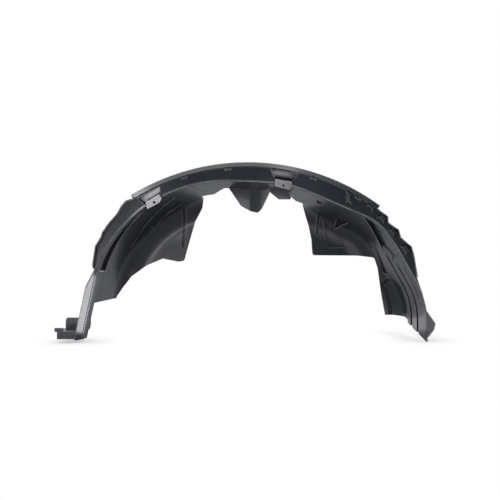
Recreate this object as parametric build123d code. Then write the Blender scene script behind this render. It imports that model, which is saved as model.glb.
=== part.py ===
from build123d import *
import os
from math import atan2, cos, degrees, radians, sin, tan

# Wall of the moulded shell
WALL = 2.4

# Arch in the side view: crown of the barrel and the tangent runs on either side of it
CROWN_X = -60.0
CROWN_Z = 170.0
REAR_LEG = 165.0
REAR_SLOPE = 78.0
REAR_KNEE_R = 180.0
REAR_KNEE_TURN = 15.0
REAR_R = 345.0
CROWN_R = 1500.0
CROWN_TURN = 4.0
FRONT_R = 330.0
FRONT_TURN = 19.0
FRONT_RUN = 146.0
SHOULDER_R = 130.0
SHOULDER_TURN = 30.0
FRONT_BOW_R = 480.0
FRONT_BOW_TURN = 8.0
FRONT_LEG = 80.0
FRONT_KNEE_R = 200.0
FRONT_KNEE_TURN = 29.0
FRONT_FOOT = 50.0

# Section of the shell across the car: step face, drafted barrel and inboard wall
STEP_Y = 48.0
INNER_Y = 272.0
DRAFT = 7.0
STEP_R = 6.0
BLEND_R = 64.0
STEP_LIP = 12.0
WALL_REACH = 95.0

# Rim flange that leans outboard over the step face
RIM_X = -6.0
RIM_R = 543.0
RIM_RISE = 37.0
RIM_Z = CROWN_Z + RIM_RISE - RIM_R
RIM_TALL = 10.0
RIM_OUT = 5.0
RIM_CUT = 2.0
RIM_LIP = 7.0
RIM_REAR = 31.5
RIM_FRONT = 36.3

# Return lip along the stepped ends of the step face
LIP_DEPTH = 12.0

# Fixing tabs under the two recesses, all in one leaning plane
TAB_LEAN = 14.0
TAB_Y = 31.0
TAB_Z = 160.0
TAB_WALL = 3.0
TAB_HOLE = 7.0
SHELF_H = 1.0
REAR_HOLE = (-236.0, -44.0)
FRONT_HOLE = (82.0, -2.5)
RECESS_DEPTH = 15.0
RECESS_LEAN = 17.0

# Strip and tray at the rear foot
STRIP_FRONT = 30.0
STRIP_FLARE = 12.0
STRIP_BACK = 82.0
PANEL_RISE = 90.0
TRAY_REACH = 55.0
TRAY_FRONT = 28.0
TRAY_DEPTH = 62.0
TRAY_RISE = 25.5
TRAY_SKIRT = 20.0
TRAY_BACK = 27.0
FOOT_TRIM = 2.0

# Flare of the front foot
FLARE_OUT = 30.0
FLARE_RISE = 42.0

# Blocks that stand out of the step face
BLOCK_HEIGHT = 9.0
BLOCK_TAPER = 28.0

# Raised beads, as depth behind the wheel side
BEAD_DEPTH = 8.0


def arch_runs():
    """Tangent runs of the barrel from the rear foot over the crown to the front foot."""
    runs = [
        (0.0, REAR_LEG),
        (REAR_KNEE_R, REAR_KNEE_TURN),
        (REAR_R, REAR_SLOPE - REAR_KNEE_TURN),
        (CROWN_R, CROWN_TURN),
        (FRONT_R, FRONT_TURN),
        (0.0, FRONT_RUN),
        (SHOULDER_R, SHOULDER_TURN),
        (FRONT_BOW_R, FRONT_BOW_TURN),
        (0.0, FRONT_LEG),
        (FRONT_KNEE_R, FRONT_KNEE_TURN),
        (0.0, FRONT_FOOT),
    ]
    heading = REAR_SLOPE
    x, z = 0.0, 0.0
    placed = []
    for radius, amount in runs:
        placed.append((x, z, heading, radius, amount))
        if radius == 0.0:
            x += amount * cos(radians(heading))
            z += amount * sin(radians(heading))
        else:
            x += radius * (sin(radians(heading)) - sin(radians(heading - amount)))
            z += radius * (cos(radians(heading - amount)) - cos(radians(heading)))
            heading -= amount
    crown_x, crown_z = placed[3][0], placed[3][1]
    return [
        (x - crown_x + CROWN_X, z - crown_z + CROWN_Z, heading, radius, amount)
        for x, z, heading, radius, amount in placed
    ]


def from_point(base, *steps):
    """Points given as steps in x and z from a reference point."""
    return [(base[0] + dx, base[1] + dz) for dx, dz in steps]


def section_corners(t):
    """Corners of the wheel-side section, moved outward by t."""
    fall = tan(radians(DRAFT))
    lift = t / cos(radians(DRAFT))
    return [
        (STEP_Y + t, STEP_LIP),
        (STEP_Y + t, lift - fall * t),
        (INNER_Y + t, lift - fall * (INNER_Y + t - STEP_Y)),
        (INNER_Y + t, -WALL_REACH),
    ]


def section(t0, t1):
    """Closed section of the shell between two offsets from the wheel side."""
    near = section_corners(t0)
    far = section_corners(t1)
    near_line = FilletPolyline(*near, radius=[STEP_R if t0 == 0 else 0, BLEND_R + t0])
    far_line = FilletPolyline(*far, radius=[0, BLEND_R + t1])
    ends = Line(near[0], far[0]) + Line(near[-1], far[-1])
    return make_face(near_line.edges() + far_line.edges() + ends.edges())


def arch_band(profile, first=0, last=10):
    """A section carried along the runs of the arch."""
    band = None
    for x, z, heading, radius, amount in arch_runs()[first:last + 1]:
        a = radians(heading)
        place = Plane(origin=(x, 0, z), x_dir=(0, 1, 0), z_dir=(cos(a), 0, sin(a)))
        face = place * profile
        if radius == 0.0:
            piece = extrude(face, amount=amount, dir=(cos(a), 0, sin(a)))
        else:
            centre = (x + radius * sin(a), 0, z - radius * cos(a))
            piece = revolve(face, axis=Axis(centre, (0, 1, 0)), revolution_arc=amount)
        band = piece if band is None else band + piece
    return band


def arch_face(h):
    """Side-view area under the barrel, its edge moved outward by h."""
    edges = []
    for x, z, heading, radius, amount in arch_runs():
        ends = []
        for part in (0.0, 0.5, 1.0):
            if radius == 0.0:
                a = radians(heading)
                px = x + part * amount * cos(a)
                pz = z + part * amount * sin(a)
            else:
                a = radians(heading - part * amount)
                px = x + radius * (sin(radians(heading)) - sin(a))
                pz = z + radius * (cos(a) - cos(radians(heading)))
            ends.append((px - h * sin(a), pz + h * cos(a)))
        edges.append(Line(ends[0], ends[2]) if radius == 0.0 else ThreePointArc(*ends))
    edges.append(Line(edges[-1] @ 1, edges[0] @ 0))
    return make_face(edges)


def rounded(*points, radius, close=False):
    """Edges through the corners in turn, each corner rounded as far as its sides allow."""
    corners = [Vector(*p) for p in points]
    count = len(corners)
    turns = range(count) if close else range(1, count - 1)
    arrive = list(corners)
    leave = list(corners)
    arcs = {}
    for i in turns:
        here = corners[i]
        back = corners[i - 1] - here
        ahead = corners[(i + 1) % count] - here
        half = radians(back.get_angle(ahead)) / 2
        run = min(radius / tan(half), 0.45 * back.length, 0.45 * ahead.length)
        if run < 0.3:
            continue
        bisector = (back.normalized() + ahead.normalized()).normalized()
        arc_r = run * tan(half)
        arrive[i] = here + back.normalized() * run
        leave[i] = here + ahead.normalized() * run
        arcs[i] = here + bisector * (run / cos(half) - arc_r)
    edges = []
    for i in range(count if close else count - 1):
        edges.append(Line(leave[i], arrive[(i + 1) % count]))
    for i in arcs:
        edges.append(ThreePointArc(arrive[i], arcs[i], leave[i]))
    return edges


def outline(*points, radius=0.0):
    """Closed area from its corners, with one radius for all of them."""
    if radius == 0.0:
        return make_face(Polyline(*points, close=True))
    return make_face(rounded(*points, radius=radius, close=True))


def side_prism(face, y0, y1):
    """A side-view area carried from y0 to y1."""
    plane = Plane(origin=(0, y0, 0), x_dir=(1, 0, 0), z_dir=(0, -1, 0))
    return extrude(plane * face, amount=y1 - y0, dir=(0, 1, 0))


def top_prism(face, z0, z1):
    """A top-view area carried from z0 to z1."""
    return extrude(Pos(0, 0, z0) * face, amount=z1 - z0)


def end_prism(face, x0, x1):
    """An area in the end view, drawn as y and z, carried from x0 to x1."""
    return extrude(Plane(origin=(x0, 0, 0), x_dir=(0, 1, 0), z_dir=(1, 0, 0)) * face, amount=x1 - x0)


def box(x0, x1, y0, y1, z0, z1):
    """A box between its limits."""
    return Pos((x0 + x1) / 2, (y0 + y1) / 2, (z0 + z1) / 2) * Box(x1 - x0, y1 - y0, z1 - z0)


def bead(prism, p0, p1, width, low, high):
    """Prisms of a straight bead with cut corners: its hollow, and the block around it."""
    run = Vector(p1[0] - p0[0], p1[1] - p0[1])
    place = Pos((p0[0] + p1[0]) / 2, (p0[1] + p1[1]) / 2) * Rot(0, 0, degrees(atan2(run.Y, run.X)))
    hollow = chamfer(Rectangle(run.length + width, width).vertices(), 0.3 * width)
    block = Rectangle(run.length + width + 2 * WALL, width + 2 * WALL)
    return prism(place * hollow, low, high), prism(place * block, low, high)


def pocket(prism, points, low, high):
    """Prisms of a pocket with plain corners: its hollow, and the block around it."""
    area = outline(*points)
    return prism(area, low, high), prism(offset(area, WALL, kind=Kind.INTERSECTION), low, high)


def layer(t0, t1):
    """Barrel and inboard wall between two offsets from the wheel side."""
    flat = side_prism(arch_face(8 - WALL_REACH), INNER_Y + t0, INNER_Y + t1)
    return arch_band(section(t0, t1)) + flat


# Reference points: rear foot, rear knee, front shoulder and front knee
foot, knee, shoulder, front_knee = (arch_runs()[i][:2] for i in (0, 2, 6, 9))
wall_near = INNER_Y - 82
wall_far = INNER_Y + 28

# Barrel with its inboard wall
shell = layer(0, WALL)

# Beads and pockets pressed outward: rear barrel, rear wall, front wall, front leg
pressed = [
    pocket(top_prism, [(-268, 63), (-274, 74), (-318, 90), (-352, 106), (-400, 122), (-400, 74),
                       (-330, 65)], -54, 120),
    bead(top_prism, (-200, 108), (-324, 216), 12, -60, 160),
    bead(top_prism, (-192, 208), (-270, 238), 11, 0, 160),
    bead(side_prism, (-184, 112), (-189, 10), 9, wall_near, wall_far),
    pocket(top_prism, [(168, 92), (183, 92), (190, 122), (175, 122)], 60, 160),
    bead(side_prism, (191, 98), (190, 46), 8, wall_near, wall_far),
    pocket(side_prism, [(206, 82), (218, 10), (226, 6), (266, 8), (270, 14)], wall_near, wall_far),
    pocket(side_prism, [(238, 84), (238, 58), (256, 70), (290, 84), (288, 98)], wall_near, wall_far),
    pocket(top_prism, [(284, 62), (298, 92), (326, 136), (350, 156), (372, 132), (380, 64)], -40, 90),
    bead(end_prism, (150, -18), (150, -260), 13, 300, 460),
    bead(end_prism, (112, -40), (106, -260), 12, 300, 460),
    bead(end_prism, (74, -46), (78, -120), 8, 300, 460),
    bead(end_prism, (200, 14), (228, -56), 20, 300, 460),
    pocket(end_prism, [(176, -260), (176, -98), (196, -80), (240, -80), (262, -96), (262, -260)],
           300, 460),
]
boss_layer = layer(WALL / 2, BEAD_DEPTH + WALL)
cut_layer = layer(-6, BEAD_DEPTH)
for small, grown in pressed:
    shell += grown & boss_layer
for small, grown in pressed:
    shell -= small & cut_layer

# Step face, from the stepped rear end under the rim to the front leg
rear_x = RIM_X - RIM_R * sin(radians(RIM_REAR))
rear_z = RIM_Z + RIM_R * cos(radians(RIM_REAR))
front_x = RIM_X + RIM_R * sin(radians(RIM_FRONT))
front_z = RIM_Z + RIM_R * cos(radians(RIM_FRONT))
rear_end = from_point(
    knee, (-17, -54), (-21, -16), (-14, 28), (0, 51), (3, 62), (20, 86), (41, 110), (49, 126), (61, 140),
)
front_end = from_point(
    shoulder, (38, 11), (55, -1), (56, -16), (72, -28), (81, -33), (87, -53), (104, -68), (113, -75),
    (119, -96), (128, -150),
)
front_end += from_point(front_knee, (16, -28))
rear_steps = rounded(*rear_end, (rear_x, rear_z), radius=5)
front_steps = rounded((front_x, front_z), *front_end, radius=5)
rim_line = ThreePointArc((rear_x, rear_z), (RIM_X, RIM_Z + RIM_R), (front_x, front_z))
under = from_point(front_knee, (-20, -30)) + [(0, -100)] + from_point(knee, (7, -62))
closing = Polyline(front_end[-1], *under, rear_end[0])
step_area = make_face(rear_steps + rim_line.edges() + front_steps + closing.edges())
shell += side_prism(step_area - arch_face(STEP_LIP - 4), STEP_Y, STEP_Y + WALL)
beyond = outline((-520, -300), (520, -300), (520, 260), (-520, 260)) - step_area - arch_face(2)
shell -= side_prism(beyond, STEP_Y - 6, STEP_Y + WALL + 0.6)

# Lips along its stepped ends
lip_area = step_area - offset(step_area, -WALL)
lips = side_prism(lip_area, STEP_Y - LIP_DEPTH, STEP_Y + 0.5)
rear_lips = box(knee[0] - 60, rear_x + 3, 0, 100, knee[1] - 42, 220)
front_lips = box(front_x - 3, front_knee[0] + 60, 0, 100, front_knee[1] - 40, 220)
lips &= rear_lips + front_lips
shell += lips - side_prism(arch_face(STEP_LIP - 4), -10, 100)

# Rim flange, with a narrow cut where it leaves the step face
near = [
    (STEP_Y, RIM_R - RIM_LIP), (STEP_Y, RIM_R - RIM_CUT), (STEP_Y - RIM_CUT, RIM_R),
    (STEP_Y - RIM_OUT, RIM_R + RIM_TALL),
]
far = [
    (STEP_Y + WALL, RIM_R - RIM_LIP), (STEP_Y + WALL, RIM_R), (STEP_Y - RIM_OUT + WALL, RIM_R + RIM_TALL),
]
start = radians(90 + RIM_REAR)
rim_plane = Plane(origin=(RIM_X, 0, RIM_Z), x_dir=(0, 1, 0), z_dir=(sin(start), 0, -cos(start)))
rim = revolve(rim_plane * outline(*near, *reversed(far)), axis=Axis((RIM_X, 0, RIM_Z), (0, 1, 0)),
              revolution_arc=RIM_REAR + RIM_FRONT)
shell += rim

# Recesses pressed into the step face above the two fixing tabs, deepest at the tab
rear_recess = outline((-280, 127), (-223, 157), (-223, 135), (-254, 117), (-258, 110))
front_recess = outline((51, 200), (63, 170), (99, 163), (120, 189))
for area, low in ((rear_recess, 110), (front_recess, 163)):
    back = STEP_Y + RECESS_DEPTH
    top_back = back - 60 * tan(radians(RECESS_LEAN))
    hollow = outline((0, low - 10), (back, low - 10), (back, low), (top_back, low + 60), (0, low + 60))
    around = offset(area, WALL, kind=Kind.INTERSECTION)
    boss = side_prism(around, STEP_Y + 0.5, back + WALL)
    shell += boss & Pos(0, WALL, 0) * end_prism(hollow, -400, 400)
    shell -= side_prism(area, STEP_Y - 1, back) & end_prism(hollow, -400, 400)

# Fixing tabs turned down from shelves that run on from the barrel under the recesses
shelf_section = outline(
    (TAB_Y - 3, SHELF_H), (STEP_Y + 8, SHELF_H), (STEP_Y + 8, SHELF_H + WALL), (TAB_Y - 3, SHELF_H + WALL),
)
shelves = arch_band(shelf_section, 2, 4)
lean = Plane(origin=(0, TAB_Y, TAB_Z), x_dir=(1, 0, 0),
             z_dir=(0, -cos(radians(TAB_LEAN)), -sin(radians(TAB_LEAN))))
rear_tab = outline((-258, -44), (-224, -23), (-218, -34), (-222, -43), (-254, -61))
front_tab = outline((62, 14), (101, 8), (104, -4), (96, -13), (62, -3))
for area, (x0, x1), hole in ((rear_tab, (-254, -222), REAR_HOLE), (front_tab, (63, 101), FRONT_HOLE)):
    tab = extrude(lean * area, amount=-TAB_WALL)
    ahead = extrude(lean * Pos(0, 0, 0.05) * Rectangle(900, 300), amount=40)
    shell += (shelves & box(x0, x1, 0, 100, 0, 200)) - ahead
    shell += tab
    shell -= extrude(lean * Pos(*hole) * Circle(TAB_HOLE / 2), amount=TAB_WALL + 1, both=True)

# Opening for the strut, and the trimmed edge of the inboard wall
strut = outline(
    (-129, wall_far), (-128, 236), (-108, 214), (-66, 123), (-1, 137), (31, 137), (54, 120), (94, 120),
    (109, 160), (128, 200), (146, 236), (158, wall_far), radius=6,
)
shell -= top_prism(strut, 60, 230)
rear_edge = from_point(
    knee, (-4, -112), (11, -87), (33, -56), (73, -26), (120, -6), (165, -15), (181, -12),
)
edge = rounded(
    (knee[0] - 5, -300), *rear_edge, (-174, 15), (-155, 81), (-134, 118), (-129, 140), (-129, 230),
    (119, 230), (134, 146), (150, 112), (166, 68), (174, 30), (177, -15), (304, -16), (346, -21),
    (357, -50), (363, -80), (373, -135), (383, -190), (385, -300), radius=8,
)
inside = make_face(edge + Line((knee[0] - 5, -300), (385, -300)).edges())
shell -= side_prism(inside, wall_near, wall_far)

# Ends of the legs
panel_z = foot[1] + PANEL_RISE
rear_cut = outline((STRIP_BACK, panel_z), (wall_far, panel_z), (wall_far, -300), (STRIP_BACK, -300))
shell -= end_prism(rear_cut, -520, -200)
front_cut = outline((-10, -234), (20, -234), (60, -226), (215, -184), (wall_far, -182),
                    (wall_far, -300), (-10, -300))
shell -= end_prism(front_cut, 200, 520)

# Strip down the rear leg and the tray at its foot
fall = tan(radians(DRAFT))
strip_end = STEP_Y + 8
strip_section = outline(
    (STRIP_FRONT, STRIP_FLARE), (strip_end, -fall * 8), (strip_end, WALL - fall * 8),
    (STRIP_FRONT + 1, STRIP_FLARE + WALL),
)
strip = arch_band(strip_section, 0, 1)
strip_top = outline(*from_point((0, knee[1]), (20, -75), (30, -75), (48, -28), (80, -2), (20, 38)))
shell += strip - end_prism(strip_top, -520, -200)
shell -= box(-520, -200, -10, wall_far, -400, foot[1] + FOOT_TRIM)
tray_left = foot[0] - TRAY_REACH
tray_right = foot[0] + 13
tray_z = foot[1] + TRAY_RISE
tray_end = TRAY_FRONT + TRAY_DEPTH
tray = box(tray_left, tray_right, TRAY_FRONT, tray_end, tray_z - WALL, tray_z)
tray += box(tray_left, tray_right, TRAY_FRONT, TRAY_FRONT + WALL, tray_z - TRAY_SKIRT, tray_z)
tray += box(tray_left + 4, tray_right, tray_end - WALL, tray_end, tray_z - WALL, tray_z + TRAY_BACK)
corner = outline((tray_left, tray_z + 8), (tray_left + 12, tray_z + 40), (tray_left, tray_z + 40))
tray -= side_prism(corner, 0, 120)
tray += box(tray_left - 6, tray_left + 16, TRAY_FRONT, TRAY_FRONT + WALL, tray_z - 2, tray_z + 8)
flare_fall = (STRIP_FLARE + fall * 8) / (strip_end - STRIP_FRONT)
leg_space = outline(
    (STRIP_FRONT - 10, STRIP_FLARE + flare_fall * 10), (strip_end, -fall * 8),
    (tray_end + 20, -fall * (tray_end + 20 - STEP_Y)), (tray_end + 20, -60), (STRIP_FRONT - 10, -60),
)
shell += tray - arch_band(leg_space, 0, 0)

# Flare that turns the edge of the front foot outward
flare_section = outline(
    (STEP_Y + 5, 0.5), (STEP_Y, 0.5), (STEP_Y - FLARE_OUT, FLARE_RISE),
    (STEP_Y - FLARE_OUT + 3.5, FLARE_RISE),
)
flare_side = outline(*from_point(
    front_knee, (-10, -20), (12, -28), (23, -64), (34, -82), (43, -97), (40, -113), (29, -131),
    (17, -141), (-10, -142),
), radius=5)
shell += arch_band(flare_section, 9, 10) & side_prism(flare_side, 0, 80)

# Apron and small flap that hang from the edge of the strut opening
apron_bends = outline(
    (-62, 118), (0, 134), (30, 134), (53, 117), (55, 119), (31, 136.6), (-1, 136.6), (-62, 121),
)
apron_side = outline(
    (-61, 180), (-56, 162), (-24, 115), (2, 101), (21, 97), (32, 109), (52, 150), (52, 180), radius=6,
)
apron = top_prism(apron_bends, 80, 180) & side_prism(apron_side, 100, 150)
flap_side = outline((48, 180), (49, 152), (74, 131), (108, 131), (97, 160), (97, 180), radius=4)
flap = side_prism(flap_side, 120 - WALL, 120)
shell += (apron + flap) & side_prism(arch_face(-7.5), 100, 150)

# Rib and tapered blocks that stand out of the step face, hollow from behind
blocks = [outline((237, 148), (251, 142), (251, 112), (237, 117))]
blocks.append(outline(*from_point(shoulder, (2, 26), (17, 37), (31, 23), (16, 8))))
for dx, dz, turn, length in ((43, -4, -42, 23), (69, -39, -55, 24), (100, -82, -62, 26)):
    blocks.append(Pos(shoulder[0] + dx, shoulder[1] + dz) * Rot(0, 0, turn) * Rectangle(length, 18))
for area in blocks:
    outer = Plane(origin=(0, STEP_Y + 0.5, 0), x_dir=(1, 0, 0), z_dir=(0, -1, 0))
    inner = Plane(origin=(0, STEP_Y + WALL + 1, 0), x_dir=(1, 0, 0), z_dir=(0, -1, 0))
    core = offset(area, -1.0, kind=Kind.INTERSECTION)
    shell += extrude(outer * area, amount=BLOCK_HEIGHT, taper=BLOCK_TAPER)
    shell -= extrude(inner * core, amount=BLOCK_HEIGHT, taper=BLOCK_TAPER)

# Clip lugs under the rim
for angle in (-16.9, -5.2, 7.0, 17.6, 30.4):
    lug = Pos(RIM_X, STEP_Y - 2, RIM_Z) * Rot(0, angle, 0) * Pos(0, 0, RIM_R - RIM_CUT - 3) * Box(16, 6, 5)
    shell += lug

# Origin midway between the two tab holes, on the outboard side of the tabs
mid_x = (REAR_HOLE[0] + FRONT_HOLE[0]) / 2
mid_run = (REAR_HOLE[1] + FRONT_HOLE[1]) / 2
middle = lean * Pos(mid_x, mid_run)
mudguard = Pos(-middle.position.X, -middle.position.Y, -middle.position.Z) * shell

os.makedirs("parts", exist_ok=True)
export_step(mudguard, "parts/mudguard.step")
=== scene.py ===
import math

import bpy
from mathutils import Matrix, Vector


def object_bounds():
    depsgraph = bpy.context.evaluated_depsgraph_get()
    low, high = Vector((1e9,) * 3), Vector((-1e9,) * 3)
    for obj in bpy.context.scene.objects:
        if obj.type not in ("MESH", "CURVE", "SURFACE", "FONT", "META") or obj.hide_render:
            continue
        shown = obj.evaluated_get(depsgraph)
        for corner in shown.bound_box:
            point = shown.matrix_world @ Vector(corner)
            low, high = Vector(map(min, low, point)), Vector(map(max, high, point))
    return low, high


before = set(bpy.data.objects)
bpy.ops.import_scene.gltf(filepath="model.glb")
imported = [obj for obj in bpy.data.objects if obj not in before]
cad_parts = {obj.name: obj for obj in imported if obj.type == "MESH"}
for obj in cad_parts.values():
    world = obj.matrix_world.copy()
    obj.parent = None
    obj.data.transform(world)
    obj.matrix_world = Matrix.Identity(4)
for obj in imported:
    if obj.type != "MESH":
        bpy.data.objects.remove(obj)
cad_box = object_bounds()
scene = bpy.context.scene
scene.view_settings.view_transform = "Standard"

# Lengths are in metres, angles in degrees and powers in watts

# Camera: level, outboard of the rim edge, with lens and sensor in millimetres
CAMERA_PLACE = (0.077, -1.5366, -0.1374)
CAMERA_LENS = 45.0
CAMERA_SENSOR = 36.0

# Stage: floor, and a surround that is dimmer behind the camera
FLOOR_SIZE = 14.0
FLOOR_MIDDLE = (0.07, 0.0)
FLOOR_COLOUR = (0.62, 0.62, 0.63, 1.0)
SHADOW_REACH = 0.10
SHADOW_STOPS = (0.35, 0.97)
SHADOW = (0.55, 0.55, 0.56, 1.0)
WHITE = (1.0, 1.0, 1.0, 1.0)
FRONT_ROOM = (0.18, 0.20, 0.25, 1.0)
BACK_ROOM = (0.60, 0.62, 0.66, 1.0)
ROOM_TURN = (-0.6, 0.6)

# How white the stage looks to the camera, and in reflections
CAMERA_WHITE = 1.0
MIRRORED_WHITE = 0.1

# Beams of the lamps: open, and narrow for a card that is close to the part
OPEN_BEAM = 180
NARROW_BEAM = 100

# Noise over the plastic: scale, detail and roughness
CLOUDS = (7.0, 4.0, 0.55)
SCUFFS = (45.0, 3.0, 0.6)
SHEEN = (22.0, 5.0, 0.6)
GRAIN = (900.0, 2.0, 0.5)
WAVE = (11.0, 1.0, 0.4)

# Colour of the plastic: black, dusty in clouds
BLACK = (0.007, 0.009, 0.014, 1.0)
DUSTED = (0.018, 0.020, 0.026, 1.0)
CLOUD_STOPS = (0.38, 0.72)

# Wear and a painted highlight on outer corners, broken up by scuffs
WORN_AND_HIGHLIGHT = (0.28, 0.28, 0.29, 1.0)
WEAR_AND_HIGHLIGHT_REACH = 0.0020
WEAR_AND_HIGHLIGHT_SAMPLES = 12
CORNER_SHADE = (0.55, 0.92)
SCUFF_NOISE = (0.35, 0.65)
SCUFF_SHARE = (0.55, 1.0)

# Roughness, and what wear and grooves add to it
SHEEN_NOISE = (0.3, 0.7)
GLOSS = (0.30, 0.40)
WORN_DULL = 0.10
GROOVE_DULL = 0.35
GROOVE_REACH = 0.012
GROOVE_SAMPLES = 8
GROOVE_SHADE = (0.45, 0.85)

# Edges, grain and wave of the moulded surface
EDGE_RADIUS = 0.0011
EDGE_SAMPLES = 8
GRAIN_STRENGTH = 0.01
GRAIN_HEIGHT = 0.0004
WAVE_STRENGTH = 0.12
WAVE_HEIGHT = 0.003

# Reflection and the smoother skin over it
REFLECTION = 0.35
SKIN = 0.5
SKIN_ROUGHNESS = 0.18

# Shading of the CAD mesh
WELD_REACH = 0.00001
FLAT_ANGLE = 0.4
CREASE_ANGLE = 28

NONE_TO_ALL = (0.0, 1.0)
ALL_TO_NONE = (1.0, 0.0)


def node(tree, kind, **inputs):
    """A shader node with its inputs set by name."""
    made = tree.nodes.new(kind)
    for name, value in inputs.items():
        made.inputs[name].default_value = value
    return made


def ramp(tree, value, stops, colours):
    """A colour that follows a value between two stops."""
    made = tree.nodes.new("ShaderNodeValToRGB")
    for element, stop, colour in zip(made.color_ramp.elements, stops, colours):
        element.position = stop
        element.color = colour
    tree.links.new(value, made.inputs["Fac"])
    return made.outputs["Color"]


def span(tree, value, source, target):
    """A value carried from one range to another."""
    made = tree.nodes.new("ShaderNodeMapRange")
    made.inputs["From Min"].default_value = source[0]
    made.inputs["From Max"].default_value = source[1]
    made.inputs["To Min"].default_value = target[0]
    made.inputs["To Max"].default_value = target[1]
    tree.links.new(value, made.inputs["Value"])
    return made.outputs["Result"]


def sums(tree, kind, first, second):
    """Two values put together."""
    made = tree.nodes.new("ShaderNodeMath")
    made.operation = kind
    tree.links.new(first, made.inputs[0])
    tree.links.new(second, made.inputs[1])
    return made.outputs["Value"]


def blend(tree, share, first, second):
    """One colour going over to another, each a tuple or a socket."""
    made = tree.nodes.new("ShaderNodeMix")
    made.data_type = "RGBA"
    tree.links.new(share, made.inputs["Factor"])
    for colour, socket in ((first, made.inputs[6]), (second, made.inputs[7])):
        if isinstance(colour, tuple):
            socket.default_value = colour
        else:
            tree.links.new(colour, socket)
    return made.outputs[2]


def noise(tree, place, kind):
    """Soft random values over the part."""
    scale, detail, roughness = kind
    made = node(tree, "ShaderNodeTexNoise", Scale=scale, Detail=detail, Roughness=roughness)
    tree.links.new(place, made.inputs["Vector"])
    return made.outputs["Fac"]


def bump(tree, value, strength, height, normal):
    """A surface raised by a value, over the normal that it is given."""
    made = node(tree, "ShaderNodeBump", Strength=strength, Distance=height)
    tree.links.new(value, made.inputs["Height"])
    tree.links.new(normal, made.inputs["Normal"])
    return made.outputs["Normal"]


def wear_and_highlight_corners(tree, place):
    """How pale the plastic is painted: wear plus a painted highlight, most on outer corners, in
    scuffs.
    """
    close = node(tree, "ShaderNodeAmbientOcclusion", Distance=WEAR_AND_HIGHLIGHT_REACH)
    close.samples = WEAR_AND_HIGHLIGHT_SAMPLES
    close.inside = True
    close.only_local = True
    corners = span(tree, close.outputs["AO"], CORNER_SHADE, ALL_TO_NONE)
    scuffs = span(tree, noise(tree, place, SCUFFS), SCUFF_NOISE, SCUFF_SHARE)
    return sums(tree, "MULTIPLY", corners, scuffs)


def uneven_gloss(tree, place, wear_and_highlight):
    """Roughness that varies, and is higher on the pale outer corners and in grooves."""
    gloss = span(tree, noise(tree, place, SHEEN), SHEEN_NOISE, GLOSS)
    dull = span(tree, wear_and_highlight, NONE_TO_ALL, (0.0, WORN_DULL))
    deep = node(tree, "ShaderNodeAmbientOcclusion", Distance=GROOVE_REACH)
    deep.samples = GROOVE_SAMPLES
    deep.only_local = True
    dusty = span(tree, deep.outputs["AO"], GROOVE_SHADE, (GROOVE_DULL, 0.0))
    return sums(tree, "ADD", sums(tree, "ADD", gloss, dull), dusty)


def moulded_surface(tree, place):
    """A small radius on every edge, fine grain and a faint wave."""
    soft = node(tree, "ShaderNodeBevel", Radius=EDGE_RADIUS)
    soft.samples = EDGE_SAMPLES
    fine = bump(tree, noise(tree, place, GRAIN), GRAIN_STRENGTH, GRAIN_HEIGHT, soft.outputs["Normal"])
    return bump(tree, noise(tree, place, WAVE), WAVE_STRENGTH, WAVE_HEIGHT, fine)


def moulded_plastic():
    """Black semi-gloss plastic: dusty clouds, uneven gloss, moulded grain and pale outer corners,
    partly wear and partly a painted highlight.
    """
    material = bpy.data.materials.new("black_plastic")
    material.use_nodes = True
    tree = material.node_tree
    shader = tree.nodes["Principled BSDF"]
    place = tree.nodes.new("ShaderNodeTexCoord").outputs["Object"]

    wear_and_highlight = wear_and_highlight_corners(tree, place)
    tint = ramp(tree, noise(tree, place, CLOUDS), CLOUD_STOPS, (BLACK, DUSTED))
    # Outer corners painted pale: partly wear, partly a painted highlight along the edges
    tree.links.new(blend(tree, wear_and_highlight, tint, WORN_AND_HIGHLIGHT), shader.inputs["Base Color"])
    tree.links.new(uneven_gloss(tree, place, wear_and_highlight), shader.inputs["Roughness"])

    normal = moulded_surface(tree, place)
    tree.links.new(normal, shader.inputs["Normal"])
    tree.links.new(normal, shader.inputs["Coat Normal"])
    shader.inputs["Specular IOR Level"].default_value = REFLECTION
    shader.inputs["Coat Weight"].default_value = SKIN
    shader.inputs["Coat Roughness"].default_value = SKIN_ROUGHNESS
    return material


def show_white(tree, lit, white, out):
    """Joins a lit shader and a white one, which the camera sees and reflections see a little of."""
    path = tree.nodes.new("ShaderNodeLightPath")
    bounced = sums(tree, "MAXIMUM", path.outputs["Is Glossy Ray"], path.outputs["Is Transmission Ray"])
    direct = span(tree, path.outputs["Is Camera Ray"], NONE_TO_ALL, (0.0, CAMERA_WHITE))
    mirrored = span(tree, bounced, NONE_TO_ALL, (0.0, MIRRORED_WHITE))
    mix = tree.nodes.new("ShaderNodeMixShader")
    tree.links.new(sums(tree, "MAXIMUM", direct, mirrored), mix.inputs["Fac"])
    tree.links.new(lit, mix.inputs[1])
    tree.links.new(white, mix.inputs[2])
    tree.links.new(mix.outputs["Shader"], out.inputs["Surface"])


def pale_floor():
    """A pale floor with a soft shadow, seen almost white."""
    material = bpy.data.materials.new("pale_floor")
    material.use_nodes = True
    tree = material.node_tree
    tree.nodes.clear()
    out = tree.nodes.new("ShaderNodeOutputMaterial")
    matt = node(tree, "ShaderNodeBsdfDiffuse", Color=FLOOR_COLOUR)
    white = node(tree, "ShaderNodeEmission", Strength=1.0)
    near = node(tree, "ShaderNodeAmbientOcclusion", Distance=SHADOW_REACH)
    shade = ramp(tree, near.outputs["AO"], SHADOW_STOPS, (SHADOW, WHITE))
    tree.links.new(shade, white.inputs["Color"])
    show_white(tree, matt.outputs["BSDF"], white.outputs["Emission"], out)
    return material


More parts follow.
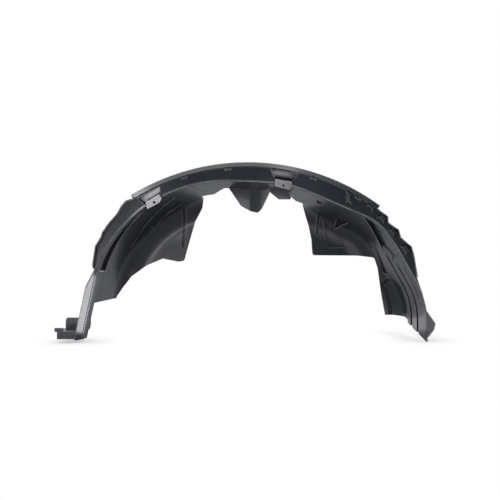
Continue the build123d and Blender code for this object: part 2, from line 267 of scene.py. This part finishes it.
def surround():
    """A white surround for the camera, which lights and mirrors dimmer towards the front."""
    world = bpy.data.worlds.new("surround")
    scene.world = world
    world.use_nodes = True
    tree = world.node_tree
    tree.nodes.clear()
    out = tree.nodes.new("ShaderNodeOutputWorld")
    way = tree.nodes.new("ShaderNodeTexCoord").outputs["Generated"]
    parts = tree.nodes.new("ShaderNodeSeparateXYZ")
    tree.links.new(way, parts.inputs["Vector"])
    back = span(tree, parts.outputs["Y"], ROOM_TURN, NONE_TO_ALL)
    room = tree.nodes.new("ShaderNodeBackground")
    tree.links.new(blend(tree, back, FRONT_ROOM, BACK_ROOM), room.inputs["Color"])
    white = node(tree, "ShaderNodeBackground", Color=WHITE, Strength=1.0)
    show_white(tree, room.outputs["Background"], white.outputs["Background"], out)


def finish_moulding(piece, material):
    """Even shading on a solid that stays as it is."""
    piece.data.materials.clear()
    piece.data.materials.append(material)
    weld = piece.modifiers.new("weld", "WELD")
    weld.merge_threshold = WELD_REACH
    flat = piece.modifiers.new("flat", "DECIMATE")
    flat.decimate_type = "DISSOLVE"
    flat.angle_limit = math.radians(FLAT_ANGLE)
    crease = piece.modifiers.new("crease", "EDGE_SPLIT")
    crease.split_angle = math.radians(CREASE_ANGLE)
    even = piece.modifiers.new("even", "WEIGHTED_NORMAL")
    even.keep_sharp = True


def area_light(name, place, aim, size, power, beam=OPEN_BEAM):
    """A soft rectangular lamp, turned to a point and unseen by the camera."""
    lamp = bpy.data.lights.new(name, "AREA")
    lamp.shape = "RECTANGLE"
    lamp.size = size[0]
    lamp.size_y = size[1]
    lamp.energy = power
    lamp.spread = math.radians(beam)
    made = bpy.data.objects.new(name, lamp)
    made.location = place
    made.rotation_euler = (Vector(aim) - Vector(place)).to_track_quat("-Z", "Y").to_euler()
    made.visible_camera = False
    scene.collection.objects.link(made)


def soft_lamps(low):
    """Lamps in front, at the sides and behind, with their heights from the floor."""
    area_light("low_front", place=(-0.22, -0.80, low + 0.02), aim=(-0.1, 0.0, 0.0),
               size=(0.8, 0.25), power=3.0)
    area_light("low_left", place=(-0.97, -0.80, low + 0.20), aim=(0.5, 0.0, -0.3),
               size=(1.2, 0.4), power=5.5)
    area_light("side_left", place=(-1.7, -0.50, low + 0.35), aim=(0.4, 0.0, -0.2),
               size=(0.9, 0.9), power=8.0)
    area_light("side_right", place=(1.85, -0.50, low + 0.35), aim=(-0.3, 0.0, -0.1),
               size=(0.9, 0.9), power=7.0)
    area_light("behind", place=(-0.1, 0.95, low + 1.0), aim=(-0.1, 0.9, low),
               size=(0.8, 0.6), power=1.2)


def cards(low):
    """Lit cards that are mirrored by the tabs, the strip, the front leg and its foot."""
    rear_tab = (-0.163, -0.005, -0.022)
    front_tab = (0.150, -0.005, 0.027)
    strip = (-0.325, 0.007, low + 0.096)
    front_foot = (0.51, 0.04, low + 0.04)
    upwards = (0.30, -0.17, low + 1.0)
    area_light("rear_tab_card", place=(-0.179, -0.095, -0.062), aim=rear_tab,
               size=(0.06, 0.05), power=0.09)
    area_light("front_tab_card", place=(0.155, -0.098, -0.010), aim=front_tab,
               size=(0.06, 0.05), power=0.045)
    area_light("rear_card", place=(-0.282, 0.027, low + 0.080), aim=strip,
               size=(0.05, 0.15), power=0.048, beam=NARROW_BEAM)
    area_light("front_card", place=(0.43, 0.19, low + 0.02), aim=front_foot,
               size=(0.12, 0.03), power=0.012)
    area_light("floor_card", place=(0.30, -0.16, low + 0.005), aim=upwards,
               size=(0.4, 0.3), power=0.35)


def studio(low):
    """Floor under the part, surround, lamps and cards."""
    bpy.ops.mesh.primitive_plane_add(size=FLOOR_SIZE, location=(*FLOOR_MIDDLE, low))
    floor = bpy.context.object
    floor.name = "floor"
    floor.data.materials.append(pale_floor())
    surround()
    soft_lamps(low)
    cards(low)


def camera():
    """The photograph's viewpoint."""
    lens = bpy.data.cameras.new("camera")
    lens.lens = CAMERA_LENS
    lens.sensor_width = CAMERA_SENSOR
    made = bpy.data.objects.new("camera", lens)
    made.location = CAMERA_PLACE
    made.rotation_euler = (math.radians(90), 0.0, 0.0)
    scene.collection.objects.link(made)
    scene.camera = made


finish_moulding(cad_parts["mudguard"], moulded_plastic())
studio(cad_box[0].z)
camera()
